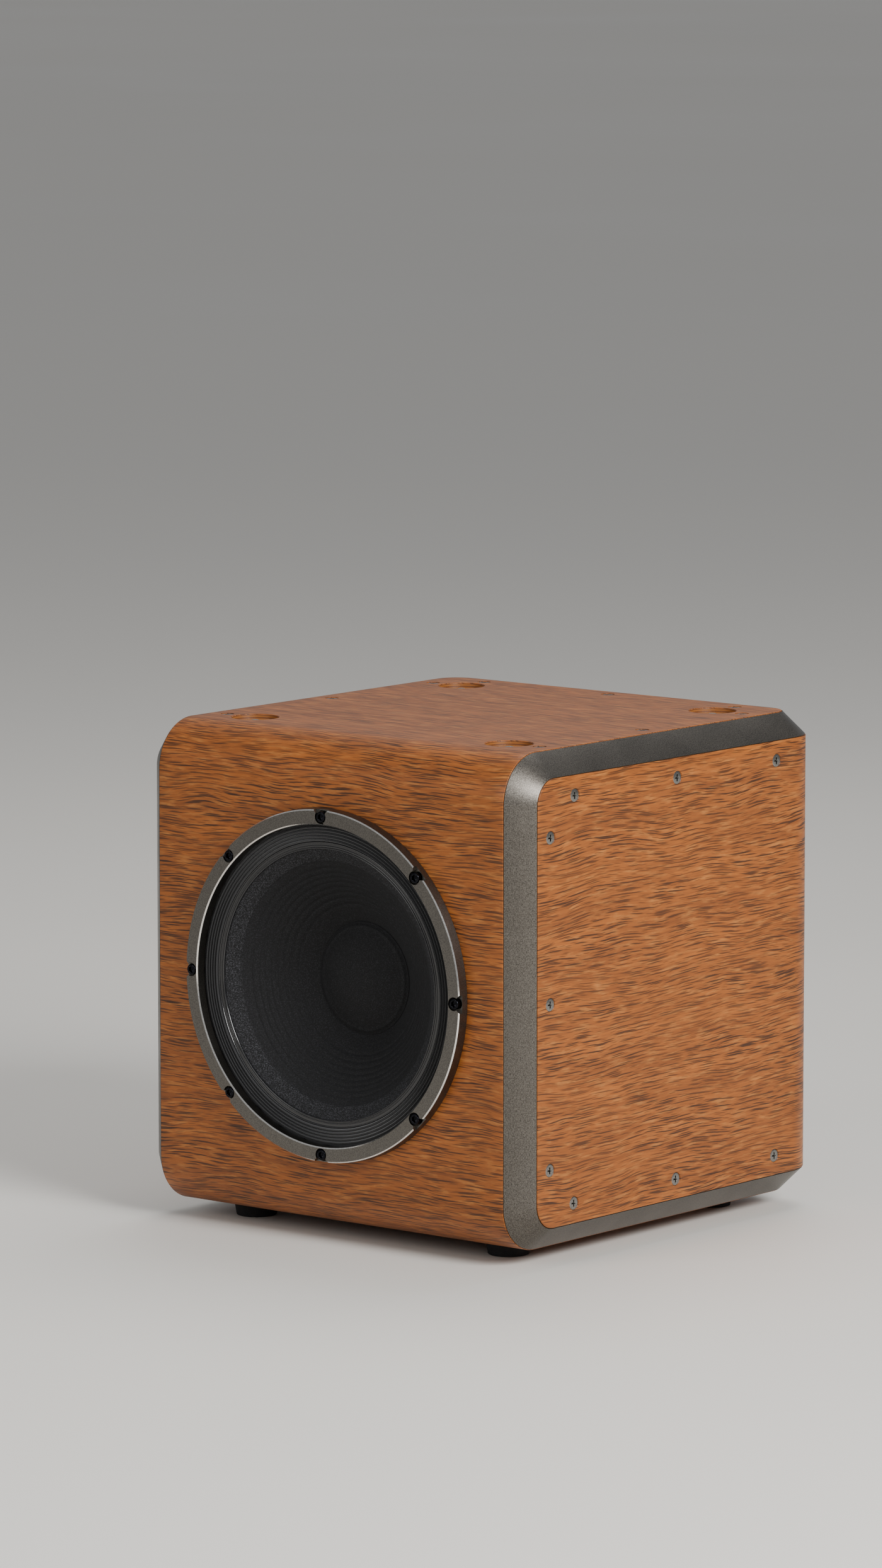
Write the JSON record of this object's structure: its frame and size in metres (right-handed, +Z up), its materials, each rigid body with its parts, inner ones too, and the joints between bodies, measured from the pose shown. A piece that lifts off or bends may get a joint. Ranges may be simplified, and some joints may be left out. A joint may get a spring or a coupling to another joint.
{
  "type": "subwoofer cabinet",
  "caption": "Cube-shaped active subwoofer: interlocking bent-plywood shells with a bevelled metal frame along their seam, front driver, stacking cups on top and rubber feet below.",
  "frame": {"origin": "on the surface it stands on, under the middle of the bounding box", "axes": "+Z up, -Y is the front with the driver, +X is the right side as seen from the front"},
  "size_m": [0.432, 0.4564, 0.448],
  "materials": {
    "veneer": "satin oiled mahogany-like veneer on bent plywood",
    "bevel_metal": "bead-blasted, warm grey anodised",
    "plywood": "raw birch plywood",
    "steel": "plain",
    "rubber": "matt black",
    "cast_metal": "satin, fine-blasted",
    "black_steel": "black oxide, glossy",
    "foam": "closed-cell foam",
    "pleated_cloth": "doped black cloth",
    "cone_paper": "pressed black paper pulp",
    "copper": "enamelled copper winding",
    "ferrite": "fired ferrite",
    "black_plate": "black powder coat",
    "black_plastic": "moulded, fine texture",
    "circuit_board": "solder resist"
  },
  "bodies": {
    "cabinet": {"front_wrap": "veneer", "rear_wrap": "veneer", "bevel_frame": "bevel_metal", "window_brace": "plywood", "shell_screws_right": "steel", "shell_screws_left": "steel", "shell_screws_top": "steel", "shell_screws_bottom": "steel", "foot_screw_front_left": "steel", "foot_screw_front_right": "steel", "foot_screw_rear_left": "steel", "foot_screw_rear_right": "steel", "cup_stud_front_left": "steel", "cup_stud_front_right": "steel", "cup_stud_rear_left": "steel", "cup_stud_rear_right": "steel", "amp_cover": "steel", "gain_pot": "steel", "crossover_pot": "steel", "foot_front_left": "rubber", "foot_front_right": "rubber", "foot_rear_left": "rubber", "foot_rear_right": "rubber", "lead_positive": "rubber", "lead_negative": "rubber", "trim_ring": "cast_metal", "basket": "cast_metal", "driver_bolt_1": "black_steel", "driver_bolt_2": "black_steel", "driver_bolt_3": "black_steel", "driver_bolt_4": "black_steel", "driver_bolt_5": "black_steel", "driver_bolt_6": "black_steel", "driver_bolt_7": "black_steel", "driver_bolt_8": "black_steel", "top_plate": "black_steel", "pole_yoke": "black_steel", "driver_gasket": "foam", "amp_gasket": "foam", "surround": "pleated_cloth", "spider": "pleated_cloth", "transformer": "copper", "magnet": "ferrite", "amp_plate": "black_plate", "heatsink": "black_plate", "terminal_block": "black_plastic", "phase_switch": "black_plastic", "power_switch": "black_plastic", "mains_inlet": "black_plastic", "input_left": "black_plastic", "input_right": "black_plastic", "amp_board": "circuit_board"},
    "cone_assembly": {"cone": "cone_paper", "dust_cap": "cone_paper", "coil_former": "cone_paper", "voice_coil": "copper"},
    "gain_control": {"gain_knob": "black_plastic"},
    "crossover_control": {"crossover_knob": "black_plastic"},
    "phase_control": {"phase_lever": "steel"},
    "power_control": {"power_rocker": "black_plastic"}
  },
  "joints": [
    {"name": "cone_travel", "type": "slide", "parent": "cabinet", "child": "cone_assembly", "axis": [0, 1, 0], "range_m": [-0.006, 0.006], "stiffness_N_per_m": 2600, "deforming": ["surround", "spider"]},
    {"name": "gain_turn", "type": "hinge", "parent": "cabinet", "child": "gain_control", "pos_m": [-0.075, 0.218, 0.219], "axis": [0, -1, 0], "range_deg": [-150, 150]},
    {"name": "crossover_turn", "type": "hinge", "parent": "cabinet", "child": "crossover_control", "pos_m": [-0.03, 0.218, 0.219], "axis": [0, -1, 0], "range_deg": [-150, 150]},
    {"name": "phase_flip", "type": "hinge", "parent": "cabinet", "child": "phase_control", "pos_m": [0.012, 0.2115, 0.219], "axis": [1, 0, 0], "range_deg": [0, 24]},
    {"name": "power_press", "type": "hinge", "parent": "cabinet", "child": "power_control", "pos_m": [0.07, 0.2155, 0.215], "axis": [1, 0, 0], "range_deg": [0, 18]}
  ]
}
